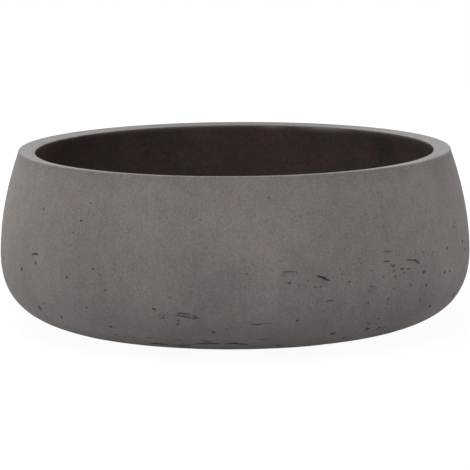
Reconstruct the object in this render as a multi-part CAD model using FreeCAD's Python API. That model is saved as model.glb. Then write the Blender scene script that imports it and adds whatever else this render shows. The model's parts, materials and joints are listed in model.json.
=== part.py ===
"""Low round cement bowl planter with a sealed inside, a rubber drain plug and stick-on foot pads.

Millimetres, +Z up. The origin is on the floor under the middle of the bowl, so the pads stand on z = 0.
Every round surface but the pads' turns about the Z axis.
"""

import FreeCAD
import Part

import math
import os

# Cement bowl: the cast body, from the flat of its base to the top of its rim
belly_diameter = 410.0
rim_diameter = 375.0
base_diameter = 242.0
body_height = 152.0
belly_height = 62.0
shoulder_height = 104.0  # where the lean of the rim, carried straight down, meets the upright of the belly
shoulder_fullness = 1.0
heel_fullness = 1.05
wall_thickness = 15.0
base_thickness = 18.0
rim_outer_round = 2.0
rim_inner_round = 1.2

# Seal coat: the dark waterproof skin brushed on the inside
coat_thickness = 1.0
coat_margin = 0.3

# Drain hole and the rubber plug that closes it from inside
drain_diameter = 26.0
plug_clearance = 0.05
plug_above_base = 1.5
plug_nose_length = 3.5
plug_nose_taper = 1.2
plug_rib_count = 3
plug_rib_height = 0.7
plug_rib_width = 3.0
flange_overlap = 7.0
flange_thickness = 4.0
flange_round = 1.5
tab_width = 20.0
tab_thickness = 6.0
tab_height = 15.0
tab_corner = 7.0
tab_round = 1.2

# Foot pads: stick-on rubber discs under the base
pad_count = 4
pad_diameter = 30.0
pad_thickness = 2.0
pad_edge_round = 0.6
pad_margin = 14.0
pad_first_angle = 45.0

# Heights and radii that follow from the sizes above
base_z = pad_thickness
rim_z = base_z + body_height
belly_z = base_z + belly_height
shoulder_z = base_z + shoulder_height
floor_z = base_z + base_thickness
coat_floor_z = floor_z + coat_thickness
flange_top_z = coat_floor_z + flange_thickness
belly_radius = belly_diameter / 2
rim_radius = rim_diameter / 2
base_radius = base_diameter / 2
drain_radius = drain_diameter / 2
flange_radius = drain_radius + flange_overlap
pad_radius = pad_diameter / 2
pad_circle_radius = base_radius - pad_margin - pad_radius

# The coat's brushed edge runs just below the rounding of the rim's leaning inner edge
rim_lean = math.atan2(belly_radius - rim_radius, rim_z - shoulder_z)
rim_round_drop = rim_inner_round / math.tan((math.pi / 2 - rim_lean) / 2) * math.cos(rim_lean)
coat_top_z = rim_z - rim_round_drop - coat_margin

ORIGIN = FreeCAD.Vector(0, 0, 0)
AXIS_Z = FreeCAD.Vector(0, 0, 1)
TINY = 1e-6


def point(radius, height):
    """A point of a turned profile, which is drawn in the XZ plane."""
    return FreeCAD.Vector(radius, 0, height)


def line(start, end):
    return Part.LineSegment(start, end).toShape()


def conic(start, corner, end, fullness):
    """A curve that leaves start towards corner and reaches end from it; more fullness hugs the corner."""
    curve = Part.BezierCurve()
    curve.setPoles([start, corner, end])
    curve.setWeight(2, fullness)
    return curve.toShape()


def wall_curves(inset, foot_z):
    """The bowl's side at a depth inside its outer face, from the rim down to a flat floor at foot_z."""
    rim = point(rim_radius - inset, rim_z)
    shoulder = point(belly_radius - inset, shoulder_z)
    belly = point(belly_radius - inset, belly_z)
    heel = point(belly_radius - inset, foot_z)
    foot = point(base_radius, foot_z)
    return [conic(rim, shoulder, belly, shoulder_fullness), conic(belly, heel, foot, heel_fullness)]


def turn_shell(outer_inset, outer_z, inner_inset, inner_z):
    """The turned shell between two depths of the bowl's side, with the drain hole through its floor."""
    outer_hole = point(drain_radius, outer_z)
    inner_hole = point(drain_radius, inner_z)
    edges = wall_curves(outer_inset, outer_z) + wall_curves(inner_inset, inner_z)
    edges += [
        line(point(rim_radius - outer_inset, rim_z), point(rim_radius - inner_inset, rim_z)),
        line(point(base_radius, outer_z), outer_hole),
        line(outer_hole, inner_hole),
        line(inner_hole, point(base_radius, inner_z)),
    ]
    wire = Part.Wire(Part.__sortEdges__(edges))
    return Part.Face(wire).revolve(ORIGIN, AXIS_Z, 360)


def circles_at(shape, radius, height):
    """The round edges of a shape at one radius and height."""
    found = []
    for edge in shape.Edges:
        is_round = isinstance(edge.Curve, Part.Circle) and abs(edge.Curve.Radius - radius) < TINY
        if is_round and abs(edge.CenterOfMass.z - height) < TINY:
            found.append(edge)
    return found


def make_cement_bowl():
    bowl = turn_shell(0, base_z, wall_thickness, floor_z)
    bowl = bowl.makeFillet(rim_outer_round, circles_at(bowl, rim_radius, rim_z))
    return bowl.makeFillet(rim_inner_round, circles_at(bowl, rim_radius - wall_thickness, rim_z))


def make_seal_coat():
    """The skin follows the bowl's inner face exactly and is trimmed level at its brushed edge."""
    skin = turn_shell(wall_thickness, floor_z, wall_thickness + coat_thickness, coat_floor_z)
    return skin.common(Part.makeCylinder(belly_radius, coat_top_z))


def plug_profile():
    """Half of the plug's section: a flange on the coat, a shank with sealing ribs and a tapered nose."""
    rib_radius = drain_radius - plug_clearance
    shank_radius = rib_radius - plug_rib_height
    nose_z = base_z + plug_above_base
    shank_z = nose_z + plug_nose_length
    rib_pitch = (coat_floor_z - shank_z) / plug_rib_count
    points = [
        point(0, flange_top_z),
        point(flange_radius, flange_top_z),
        point(flange_radius, coat_floor_z),
        point(shank_radius, coat_floor_z),
    ]
    for index in range(plug_rib_count):
        rib_z = coat_floor_z - (index + 0.5) * rib_pitch
        points += [
            point(shank_radius, rib_z + plug_rib_width / 2),
            point(rib_radius, rib_z),
            point(shank_radius, rib_z - plug_rib_width / 2),
        ]
    points += [
        point(shank_radius, shank_z),
        point(shank_radius - plug_nose_taper, nose_z),
        point(0, nose_z),
        points[0],
    ]
    return Part.Face(Part.makePolygon(points))


def is_top_corner(edge, top_z):
    """Whether an edge runs across the top of the pull tab, front to back."""
    middle = edge.CenterOfMass
    return abs(middle.z - top_z) < TINY and abs(middle.y) < TINY


def make_pull_tab():
    """The fin that a finger and thumb pull, rooted half way into the flange, with rounded top corners."""
    root_z = flange_top_z - flange_thickness / 2
    height = flange_top_z + tab_height - root_z
    corner = FreeCAD.Vector(-tab_width / 2, -tab_thickness / 2, root_z)
    fin = Part.makeBox(tab_width, tab_thickness, height, corner)
    top_corners = [edge for edge in fin.Edges if is_top_corner(edge, root_z + height)]
    fin = fin.makeFillet(tab_corner, top_corners)
    gripped = []
    for edge in fin.Edges:
        middle = edge.CenterOfMass
        if middle.z > root_z + TINY and abs(middle.y) > TINY:
            gripped.append(edge)
    return fin.makeFillet(tab_round, gripped)


def make_drain_plug():
    plug = plug_profile().revolve(ORIGIN, AXIS_Z, 360)
    plug = plug.makeFillet(flange_round, circles_at(plug, flange_radius, flange_top_z))
    return plug.fuse(make_pull_tab()).removeSplitter()


def make_foot_pad(index):
    angle = math.radians(pad_first_angle + index * 360.0 / pad_count)
    centre = FreeCAD.Vector(math.cos(angle), math.sin(angle), 0) * pad_circle_radius
    pad = Part.makeCylinder(pad_radius, pad_thickness, centre)
    return pad.makeFillet(pad_edge_round, circles_at(pad, pad_radius, 0))


def main():
    pieces = {
        "cement_bowl": make_cement_bowl(),
        "inner_seal_coat": make_seal_coat(),
        "drain_plug": make_drain_plug(),
    }
    for index in range(pad_count):
        pieces[f"foot_pad_{index + 1}"] = make_foot_pad(index)
    os.makedirs("parts", exist_ok=True)
    for name, shape in pieces.items():
        shape.exportStep(f"parts/{name}.step")
        box = shape.optimalBoundingBox()
        print(
            f"{name}: {len(shape.Solids)} solid, valid {shape.isValid()}, {shape.Volume / 1000:.1f} cm3, "
            f"{box.XLength:.1f} x {box.YLength:.1f} x {box.ZLength:.1f}, z {box.ZMin:.2f} to {box.ZMax:.2f}"
        )


main()
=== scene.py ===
# %% [markdown]
# A low round bowl planter, cast in grey cement and sealed dark inside.
# The frame holds its true sizes: the cast bowl, the seal coat, the drain plug and four foot pads.
# This lesson gives those pieces their looks: the cast skin with its air holes and torn places, the brushed
# coat, the moulded rubber, and the soft light of a product picture.

# %% Load the frame
import json
import math
import random

import bmesh
import bpy
from mathutils import Matrix, Vector
from mathutils import noise as noise_field

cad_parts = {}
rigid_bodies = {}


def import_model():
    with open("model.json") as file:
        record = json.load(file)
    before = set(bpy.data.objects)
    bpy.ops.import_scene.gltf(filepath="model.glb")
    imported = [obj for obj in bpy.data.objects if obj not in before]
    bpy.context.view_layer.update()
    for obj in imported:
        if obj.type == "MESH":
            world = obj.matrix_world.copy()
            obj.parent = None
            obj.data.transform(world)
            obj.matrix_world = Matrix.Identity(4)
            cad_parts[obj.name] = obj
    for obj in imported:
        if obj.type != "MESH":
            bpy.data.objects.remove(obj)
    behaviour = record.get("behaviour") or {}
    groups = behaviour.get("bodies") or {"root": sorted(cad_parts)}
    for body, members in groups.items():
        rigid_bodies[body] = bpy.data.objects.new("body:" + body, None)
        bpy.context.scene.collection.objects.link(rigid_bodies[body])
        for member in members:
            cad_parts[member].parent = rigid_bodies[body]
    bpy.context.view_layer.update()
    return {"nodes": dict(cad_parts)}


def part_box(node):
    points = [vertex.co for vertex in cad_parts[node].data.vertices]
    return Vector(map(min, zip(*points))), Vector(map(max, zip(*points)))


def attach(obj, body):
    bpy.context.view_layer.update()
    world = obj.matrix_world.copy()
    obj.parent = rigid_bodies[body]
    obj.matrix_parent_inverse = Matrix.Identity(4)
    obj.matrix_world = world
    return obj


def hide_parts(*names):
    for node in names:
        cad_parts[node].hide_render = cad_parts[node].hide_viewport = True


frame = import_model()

MM = 0.001
print("frame nodes:", sorted(frame["nodes"]))

# %% [markdown]
# Operators act on whatever is selected, and the frame arrives selected.
# So each piece starts by letting go of everything, and each step ends by saying what it left behind.

# %% Helpers for a clean start
def start_fresh():
    """Leaves edit mode and lets go of everything."""
    if bpy.context.object and bpy.context.object.mode != "OBJECT":
        bpy.ops.object.mode_set(mode="OBJECT")
    bpy.ops.object.select_all(action="DESELECT")


def take(piece):
    """Makes one piece the only selected one, and the active one."""
    start_fresh()
    piece.select_set(True)
    bpy.context.view_layer.objects.active = piece


def go_inside(piece, kind):
    """Goes into edit mode on one piece with nothing selected, to pick its points, edges or faces."""
    take(piece)
    bpy.ops.object.mode_set(mode="EDIT")
    bpy.ops.mesh.select_mode(type=kind)
    bpy.ops.mesh.select_all(action="DESELECT")
    return bmesh.from_edit_mesh(piece.data)


def apply_modifiers(piece):
    """Applies a piece's modifiers in their order."""
    take(piece)
    for modifier in list(piece.modifiers):
        bpy.ops.object.modifier_apply(modifier=modifier.name)


def tell(piece):
    """Prints what a step left behind."""
    mesh = piece.data
    mesh.calc_loop_triangles()
    print(f"{piece.name}: {len(mesh.vertices)} points, {len(mesh.loop_triangles)} triangles")


# %% [markdown]
# The bowl was cast in a turned mould, so one half profile says all of its shape.
# It could be lofted from circles, but drawing the profile point by point and spinning it keeps every ring
# level and every column true. The side is two curves that meet upright at the belly, as in the frame.

# %% The bowl's sizes
bowl_low, bowl_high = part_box("cement_bowl")
coat_low, coat_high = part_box("inner_seal_coat")
BASE_Z = bowl_low.z
RIM_Z = bowl_high.z
FLOOR_Z = coat_low.z
COAT_TOP_Z = coat_high.z
BELLY_RADIUS = bowl_high.x
RIM_RADIUS = 187.5 * MM
BASE_RADIUS = 121 * MM
DRAIN_RADIUS = 13 * MM
BELLY_Z = BASE_Z + 62 * MM
SHOULDER_Z = BASE_Z + 104 * MM
SHOULDER_FULLNESS = 1.0
HEEL_FULLNESS = 1.05
WALL = 15 * MM
COAT = 1 * MM
print(f"belly {2 * BELLY_RADIUS:.3f} m across, rim at {RIM_Z:.3f} m")


# %% Curves of the profile
def conic(start, corner, end, fullness, steps):
    """Points of a curve that leaves start towards corner and reaches end from it."""
    points = []
    for step in range(steps + 1):
        t = step / steps
        from_start = (1 - t) ** 2
        from_corner = 2 * fullness * t * (1 - t)
        from_end = t * t
        total = from_start + from_corner + from_end
        radius = (from_start * start[0] + from_corner * corner[0] + from_end * end[0]) / total
        height = (from_start * start[1] + from_corner * corner[1] + from_end * end[1]) / total
        points.append((radius, height))
    return points


def straight(start, end, steps):
    """Evenly spaced places on a straight line from start to end, without start."""
    places = []
    for step in range(1, steps + 1):
        share = step / steps
        first = start[0] + (end[0] - start[0]) * share
        second = start[1] + (end[1] - start[1]) * share
        places.append((first, second))
    return places


def side_curve(inset, foot_z, upper_steps, lower_steps):
    """The bowl's side at a depth inside its outer face, from the rim down to a floor at foot_z."""
    rim = (RIM_RADIUS - inset, RIM_Z)
    shoulder = (BELLY_RADIUS - inset, SHOULDER_Z)
    belly = (BELLY_RADIUS - inset, BELLY_Z)
    heel = (BELLY_RADIUS - inset, foot_z)
    foot = (BASE_RADIUS, foot_z)
    upper = conic(rim, shoulder, belly, SHOULDER_FULLNESS, upper_steps)
    lower = conic(belly, heel, foot, HEEL_FULLNESS, lower_steps)
    return upper + lower[1:]


# %% Draw a profile and spin it
MERGE_REACH = 0.001 * MM


def draw_profile(name, points):
    """A plane merged to one point, which is extruded from place to place in the XZ plane."""
    start_fresh()
    bpy.ops.mesh.primitive_plane_add(size=MM)
    piece = bpy.context.object
    piece.name = name
    piece.data.name = name
    bpy.ops.object.mode_set(mode="EDIT")
    bpy.ops.mesh.select_mode(type="VERT")
    bpy.ops.mesh.select_all(action="SELECT")
    bpy.ops.mesh.merge(type="CENTER")
    here = Vector((points[0][0], 0, points[0][1]))
    bpy.ops.transform.translate(value=here)
    for radius, height in points[1:]:
        there = Vector((radius, 0, height))
        bpy.ops.mesh.extrude_vertices_move(TRANSFORM_OT_translate={"value": there - here})
        here = there
    return piece


def spin_profile(piece, segments):
    """Turns the drawn profile about Z, closes the seam and points the faces outwards."""
    bpy.ops.mesh.select_all(action="SELECT")
    bpy.ops.mesh.spin(steps=segments, angle=2 * math.pi, center=(0, 0, 0), axis=(0, 0, 1))
    bpy.ops.mesh.select_all(action="SELECT")
    bpy.ops.mesh.remove_doubles(threshold=MERGE_REACH)
    bpy.ops.mesh.normals_make_consistent(inside=False)
    bpy.ops.object.mode_set(mode="OBJECT")
    tell(piece)


# %% The bowl, spun
BOWL_SEGMENTS = 440
OUTER_STEPS = (38, 46)
INNER_STEPS = (14, 10)
RIM_STEPS = 5
FLOOR_STEPS = 2
BASE_STEPS = 4
RIM_FALL = 2 * MM
outer_side = side_curve(0, BASE_Z, *OUTER_STEPS)
inner_side = side_curve(WALL, FLOOR_Z, *INNER_STEPS)
lean = (inner_side[1][0] - inner_side[0][0]) / (inner_side[0][1] - inner_side[1][1])
rim_inner = (inner_side[0][0] + lean * RIM_FALL, RIM_Z - RIM_FALL)
drain_top = (DRAIN_RADIUS, FLOOR_Z)
drain_foot = (DRAIN_RADIUS, BASE_Z)
bowl_points = list(reversed(outer_side))
bowl_points += straight(outer_side[0], rim_inner, RIM_STEPS)
bowl_points += inner_side[1:]
bowl_points += straight(inner_side[-1], drain_top, FLOOR_STEPS)
bowl_points += [drain_foot]
bowl_points += straight(drain_foot, outer_side[-1], BASE_STEPS)
bowl = draw_profile("cast_bowl", bowl_points)
spin_profile(bowl, BOWL_SEGMENTS)

# %% [markdown]
# The rim of such a casting is rubbed down once it is hard. In the picture it falls about two millimetres
# to its inner edge, which runs lower at one side. The fall is in the profile. A bevel rounds both edges, and
# small turns about two axes tip the whole inner edge at once.

# %% Helpers for rings
PICK_REACH = 0.01 * MM


def pick_ring(piece, radius, height, reach):
    """Goes into edit mode with only the points near one radius and height selected."""
    mesh = go_inside(piece, "VERT")
    for point in mesh.verts:
        off_radius = abs(point.co.xy.length - radius)
        off_height = abs(point.co.z - height)
        point.select_set(max(off_radius, off_height) < reach)
    mesh.select_flush_mode()


def bevel_ring(piece, radius, height, width, segments):
    """Rounds the ring edge at one radius and height."""
    pick_ring(piece, radius, height, PICK_REACH)
    bpy.ops.mesh.bevel(offset=width, segments=segments, affect="EDGES")
    bpy.ops.object.mode_set(mode="OBJECT")


def tip_ring(piece, radius, height, reach, tips):
    """Tips a ring by small angles about X and Y, so that it runs lower at one place."""
    pick_ring(piece, radius, height, reach)
    middle = (0, 0, height)
    for axis, angle in zip("XY", tips):
        bpy.ops.transform.rotate(value=angle, orient_axis=axis, orient_type="GLOBAL", center_override=middle)
    bpy.ops.object.mode_set(mode="OBJECT")


# %% The rubbed rim
RIM_TIPS = (math.radians(-0.14), math.radians(0.16))
RIM_EDGE_REACH = 0.8 * MM
bevel_ring(bowl, RIM_RADIUS, RIM_Z, width=1.2 * MM, segments=4)
bevel_ring(bowl, *rim_inner, width=0.5 * MM, segments=2)
tip_ring(bowl, *rim_inner, RIM_EDGE_REACH, RIM_TIPS)
edge_place = Vector((-rim_inner[0], 0, rim_inner[1]))
left_edge = min(bowl.data.vertices, key=lambda point: (point.co - edge_place).length)
print(f"the rim falls {(RIM_Z - left_edge.co.z) / MM:.2f} mm to its inner edge on the left")
tell(bowl)


# %% [markdown]
# A cast face is never as true as its drawing: the mould gives a little, and the mix slumps as it sets.
# It could be sculpted, but two cloud patterns that sink the skin by parts of a millimetre come out the same
# each time. They only go inwards, so the bowl keeps its size. The rim and the inside are left alone.

# %% Slump of the cast skin
SKIN_STARTS = 1 * MM
SKIN_FADE = 3 * MM
FACES_OUT = 0.02


def move_by_clouds(piece, name, group, pattern_size, rounds, strength, level, direction="NORMAL"):
    """Moves a group of points by a cloud pattern: its grey value, counted from a level, times a strength."""
    clouds = bpy.data.textures.new(name, "CLOUDS")
    clouds.noise_scale = pattern_size
    clouds.noise_depth = rounds
    move = piece.modifiers.new(name, "DISPLACE")
    move.texture = clouds
    move.texture_coords = "LOCAL"
    move.direction = direction
    move.mid_level = level
    move.strength = strength
    move.vertex_group = group


outer_skin = bowl.vertex_groups.new(name="outer_skin")
for point in bowl.data.vertices:
    outward = Vector((point.co.x, point.co.y, 0)).normalized()
    below_rim = (RIM_Z - SKIN_STARTS - point.co.z) / SKIN_FADE
    if point.normal.dot(outward) > FACES_OUT:
        outer_skin.add([point.index], min(1, max(0, below_rim)), "REPLACE")
move_by_clouds(bowl, "mould_give", "outer_skin", pattern_size=70 * MM, rounds=3, strength=0.5 * MM, level=1)
move_by_clouds(bowl, "skin_slump", "outer_skin", pattern_size=13 * MM, rounds=3, strength=0.22 * MM, level=1)
apply_modifiers(bowl)
print(f"slumped skin reaches {max(point.co.x for point in bowl.data.vertices) / MM:.2f} mm from the axis")

# %% [markdown]
# Air that was trapped against the mould leaves small holes, and stiff mix tears as the mould is pulled: thin
# cracks, and flakes that came away beside them. Bump would leave out the shadow in the deep ones, so they are
# cuts: rough balls are set on the skin, turned to face out of it, joined into cutters and taken away.
# A place is an angle round from the front in degrees and a height in mm, as read from the picture.

# %% Flakes that show
# Place, width, height and depth in mm, tilt in degrees.
FLAKES = [
    (-11.6, 41.9, 15, 4.2, 0.7, 12), (-9.6, 40.6, 6.0, 3.8, 0.7, 10), (12.3, 75.9, 16, 4.6, 0.7, 0),
    (20.6, 67.2, 11, 6.5, 0.6, 15), (37.8, 87.2, 8.5, 2.2, 0.8, 2), (45.8, 75.8, 18, 3.6, 0.6, 10),
    (39.2, 70.8, 6.0, 3.0, 0.5, 0), (33.2, 57.2, 9.0, 7.0, 0.5, -20), (-17.0, 40.8, 6.5, 6.0, 0.4, -30),
]
print(len(FLAKES), "flakes show")

# %% Cracks that show
# Width and depth in mm, then the places that a crack runs through.
CRACKS = [
    (1.7, 3.2, (-56.2, 79.2), (-54.8, 80.6), (-53.4, 80.4)),
    (1.6, 2.0, (-13.8, 42.9), (-12.7, 41.6), (-11.5, 40.8), (-10.3, 39.8)),
    (1.2, 1.5, (-13.7, 43.8), (-12.6, 44.3), (-11.2, 43.9), (-10.5, 43.0)),
    (1.1, 1.4, (-9.9, 42.3), (-9.3, 41.9), (-8.8, 40.2), (-9.7, 38.8)),
    (1.2, 1.2, (-17.8, 38.7), (-16.9, 39.0), (-16.9, 40.9)),
    (0.9, 0.8, (10.3, 77.2), (11.1, 78.1), (12.2, 78.2), (13.4, 77.6), (14.2, 77.0)),
    (0.9, 0.8, (10.3, 76.0), (11.3, 74.0)),
    (1.9, 3.2, (18.7, 73.7), (19.5, 72.6), (20.5, 71.3), (21.5, 69.5), (21.8, 68.7)),
    (1.4, 1.8, (43.5, 78.0), (44.2, 78.4), (45.2, 76.9), (46.6, 77.2), (47.1, 75.8), (47.7, 73.7),
     (48.6, 73.1)),
    (1.4, 1.4, (21.3, 51.5), (21.9, 52.2), (22.8, 51.8)),
    (1.1, 1.2, (36.3, 79.9), (38.4, 79.0)),
    (1.9, 1.8, (38.6, 75.9), (39.2, 74.8), (39.9, 75.2)),
    (1.7, 1.4, (41.7, 71.3), (42.6, 71.4)),
    (1.2, 1.0, (43.6, 70.8), (44.6, 70.5)),
    (3.2, 2.4, (-23.6, 12.4), (-21.7, 12.8), (-20.6, 12.4), (-18.4, 12.2)),
    (3.4, 2.6, (-16.4, 12.4), (-15.1, 11.9), (-12.3, 12.3)),
    (2.4, 1.8, (-10.4, 14.8), (-9.3, 15.4), (-7.1, 15.9), (-4.3, 15.7)),
    (1.6, 1.0, (-8.7, 19.3), (-7.5, 18.3), (-5.8, 17.5)),
    (3.0, 2.6, (-2.8, 15.1), (-1.2, 15.6), (0.0, 16.3), (1.1, 15.0), (3.2, 14.5)),
    (2.8, 2.2, (10.8, 11.8), (12.6, 12.0)),
    (1.9, 1.3, (3.6, 34.9), (5.2, 34.3), (6.6, 35.2)),
    (1.5, 1.6, (-19.4, 47.1), (-18.5, 46.2)),
    (1.6, 1.1, (36.5, 87.7), (37.7, 87.4), (39.0, 86.9)),
    (1.4, 1.0, (32.3, 60.5), (33.4, 60.4)),
    (1.8, 0.7, (-15.8, 18.4), (-13.6, 18.6)),
    (1.6, 0.6, (-23.0, 19.6), (-21.0, 19.2)),
    (1.8, 0.7, (5.8, 19.7), (7.8, 19.5)),
    (0.9, 0.7, (6.6, 35.2), (8.4, 35.0)),
]
print(len(CRACKS), "cracks show")

# %% Air holes that show
# Place and width in mm. The deep ones are cut a little deeper, with rougher and steeper sides.
DEEP_HOLES = [
    (-39.2, 113.5, 3.2), (-54.3, 72.7, 3.4), (-42.6, 65.8, 3.2), (-61.3, 64.2, 3.8), (-56.0, 32.9, 5.0),
    (39.5, 71.1, 2.4), (38.0, 47.7, 2.6), (-15.8, 43.7, 1.6), (-13.4, 37.2, 2.8), (-31.8, 27.0, 3.2),
    (-31.8, 19.3, 3.4), (-5.2, 27.7, 3.6), (2.6, 77.0, 2.4), (12.3, 68.6, 3.4), (18.3, 64.0, 2.8),
    (19.7, 63.8, 2.2), (26.9, 66.3, 2.7), (32.3, 56.4, 3.0), (50.0, 65.3, 4.0), (60.8, 79.8, 4.0),
    (71.9, 79.6, 4.4), (69.6, 34.2, 6.0), (24.9, 21.2, 4.8), (14.5, 36.6, 3.0), (34.7, 21.9, 5.0),
    (59.1, 60.0, 3.6), (8.1, 136.7, 1.9),
]
SHALLOW_HOLES = [
    (-72.6, 127.5, 3.0), (-37.3, 42.3, 2.6), (-53.3, 118.2, 3.4), (-37.0, 128.5, 2.2), (-41.3, 102.9, 2.4),
    (-34.6, 75.7, 3.0), (-31.1, 59.5, 2.8), (-52.8, 39.1, 2.6), (-47.6, 29.1, 3.2), (-55.4, 24.9, 3.2),
    (-66.9, 33.8, 2.6), (-16.6, 36.6, 1.6), (3.3, 72.8, 2.2), (14.6, 66.2, 2.3), (16.6, 69.6, 2.0),
    (24.5, 77.4, 2.2), (25.0, 73.2, 2.0), (26.8, 62.8, 1.8), (30.1, 80.6, 1.8), (32.2, 46.6, 2.0),
    (42.8, 67.6, 2.4), (49.9, 81.4, 2.5), (53.8, 80.0, 2.3), (66.0, 95.0, 3.2), (62.0, 59.3, 3.2),
    (45.0, 56.3, 2.8), (51.0, 53.5, 3.0), (49.7, 40.7, 3.0), (55.5, 32.6, 4.0), (38.1, 43.3, 2.2),
    (37.9, 39.9, 2.2), (29.2, 15.3, 4.4), (38.7, 21.0, 4.6), (40.8, 20.6, 3.4), (37.3, 107.5, 2.4),
    (-8.1, 119.9, 1.8), (-13.6, 34.3, 3.2), (-6.5, 29.5, 2.0), (-2.1, 30.6, 2.4), (41.3, 29.3, 2.2),
    (53.4, 77.7, 2.0), (32.8, 73.6, 2.6), (39.9, 65.5, 2.6), (36.3, 66.9, 2.2), (39.4, 55.9, 2.4),
    (36.5, 31.2, 2.4), (34.0, 27.6, 2.4), (73.4, 71.7, 3.0), (72.7, 53.8, 3.0), (-15.0, 57.0, 2.4),
    (-16.6, 42.5, 1.8), (-16.0, 39.7, 1.8), (-32.6, 71.3, 2.2), (-27.0, 70.6, 1.8),
]
print(len(DEEP_HOLES), "deep and", len(SHALLOW_HOLES), "shallow air holes show")


# %% Rough balls
# Kinds of ball: rounds of subdivision, and how far points are shaken as a share of the ball's radius.
FINE_BALL = (4, 0.06)
HOLE_BALL = (3, 0.17)
SMALL_BALL = (2, 0.14)
BALLS_OF_A_KIND = 5
SHAKEN_OUTWARDS = 0.3


def rough_ball(rounds, roughness, seed):
    """A ball whose points were shaken, as a stone is rough."""
    start_fresh()
    bpy.ops.mesh.primitive_ico_sphere_add(subdivisions=rounds, radius=1)
    bpy.ops.object.mode_set(mode="EDIT")
    bpy.ops.transform.vertex_random(offset=roughness, uniform=1, normal=SHAKEN_OUTWARDS, seed=seed)
    bpy.ops.object.mode_set(mode="OBJECT")
    return bpy.context.object


fine_balls = [rough_ball(*FINE_BALL, seed) for seed in range(BALLS_OF_A_KIND)]
hole_balls = [rough_ball(*HOLE_BALL, seed) for seed in range(BALLS_OF_A_KIND)]
small_balls = [rough_ball(*SMALL_BALL, seed) for seed in range(BALLS_OF_A_KIND)]
print(len(fine_balls + hole_balls + small_balls), "rough balls to copy")


# %% Set balls on the skin and join them
def skin_frame(azimuth, height):
    """The place on the bowl's outside at an angle and height, with its right, up and outward directions."""
    angle = math.radians(azimuth)
    outward = Vector((math.sin(angle), -math.cos(angle), 0))
    start = outward * 2 * BELLY_RADIUS + Vector((0, 0, height * MM))
    _, place, normal, _ = bowl.ray_cast(start, -outward)
    right = Vector((math.cos(angle), math.sin(angle), 0))
    turn = Matrix((right, normal.cross(right), normal)).transposed().to_4x4()
    return Matrix.Translation(place) @ turn


def set_ball(ball, place, width, tall, depth, lift, tilt=0, rake=0):
    """A copy of a ball, to cut a mark of that size in mm; lift raises it by a share of its half thickness."""
    mouth = math.sqrt(1 - lift ** 2)
    thickness = depth / (1 - lift)
    size = Matrix.Diagonal((width / 2 / mouth * MM, tall / 2 / mouth * MM, thickness * MM, 1))
    turn = Matrix.Rotation(math.radians(-tilt), 4, "Z") @ Matrix.Rotation(math.radians(-rake), 4, "X")
    raised = Matrix.Translation((0, 0, lift * thickness * MM))
    lump = ball.copy()
    lump.data = ball.data.copy()
    bpy.context.collection.objects.link(lump)
    lump.matrix_world = skin_frame(*place) @ raised @ turn @ size
    return lump


def join(pieces, name):
    """Makes one piece of several, with its place, turn and size in its mesh."""
    take(pieces[0])
    for piece in pieces:
        piece.select_set(True)
    bpy.ops.object.join()
    bpy.ops.object.transform_apply(location=True, rotation=True, scale=True)
    whole = bpy.context.object
    whole.name = name
    tell(whole)
    return whole


# %% [markdown]
# The picture shows less than half of the skin. The rest gets marks of the same kinds, at seeded places that
# keep clear of each other, and fine pin holes go all round. Most lie in the lower half, as in the picture.

# %% Scatter the marks that the picture doesn't show
MARK_GAP = 1
CRACK_REACH = 3
random.seed(41)
taken = []


def is_clear(azimuth, height, reach):
    """Whether a mark of that reach stays clear of every mark so far."""
    for other_azimuth, other_height, other_reach in taken:
        around = math.remainder(azimuth - other_azimuth, 360)
        along = math.radians(around) * BELLY_RADIUS / MM
        if math.hypot(along, height - other_height) < reach + other_reach + MARK_GAP:
            return False
    return True


def scatter(count, angles, widths, heights):
    """Seeded places and widths; widths and heights are the least, the most and the commonest, in mm."""
    found = []
    while len(found) < count:
        azimuth = random.uniform(*angles)
        height = random.triangular(*heights)
        width = random.triangular(*widths)
        if is_clear(azimuth, height, width / 2):
            taken.append((azimuth, height, width / 2))
            found.append((azimuth, height, width))
    return found


for azimuth, height, width in DEEP_HOLES + SHALLOW_HOLES:
    taken.append((azimuth, height, width / 2))
for width, depth, *places in CRACKS:
    for azimuth, height in places:
        taken.append((azimuth, height, CRACK_REACH))
back_tears = scatter(14, angles=(82, 278), widths=(6, 20, 10), heights=(12, 95, 45))
back_deep = scatter(40, angles=(76, 284), widths=(1.5, 3.6, 2.4), heights=(12, 125, 45))
back_shallow = scatter(60, angles=(76, 284), widths=(1.6, 3.8, 2.4), heights=(12, 140, 50))
pin_holes = scatter(150, angles=(-180, 180), widths=(0.8, 1.3, 1.0), heights=(12, 146, 55))
print(len(taken), "places taken by marks")

# %% Tears on the back
TEAR_SWAY = 2
TEAR_WIDTHS = (1, 1.8)
TEAR_DEPTHS = (1, 2.8)
FLAKE_BELOW = 2
FLAKE_TALL = 0.3
FLAKE_DEPTH = 0.6
flakes = list(FLAKES)
cracks = list(CRACKS)
for azimuth, height, width in back_tears:
    reach = math.degrees(width / 2 * MM / BELLY_RADIUS)
    bend = random.uniform(-TEAR_SWAY, TEAR_SWAY)
    drop = random.uniform(-TEAR_SWAY, TEAR_SWAY)
    path = [(azimuth - reach, height + drop), (azimuth, height + bend), (azimuth + reach, height - drop)]
    cracks.append((random.uniform(*TEAR_WIDTHS), random.uniform(*TEAR_DEPTHS), *path))
    tilt = math.degrees(math.atan2(2 * drop, width))
    flakes.append((azimuth, height - FLAKE_BELOW, width, width * FLAKE_TALL, FLAKE_DEPTH, tilt))
print(len(flakes), "flakes and", len(cracks), "cracks in all")

# %% [markdown]
# Each kind of mark becomes one cutter. A flake is one wide flat ball. A crack is a row of small balls, like
# beads, welded by a remesh so that the Boolean meets one closed skin. A hole is a single ball.

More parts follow.
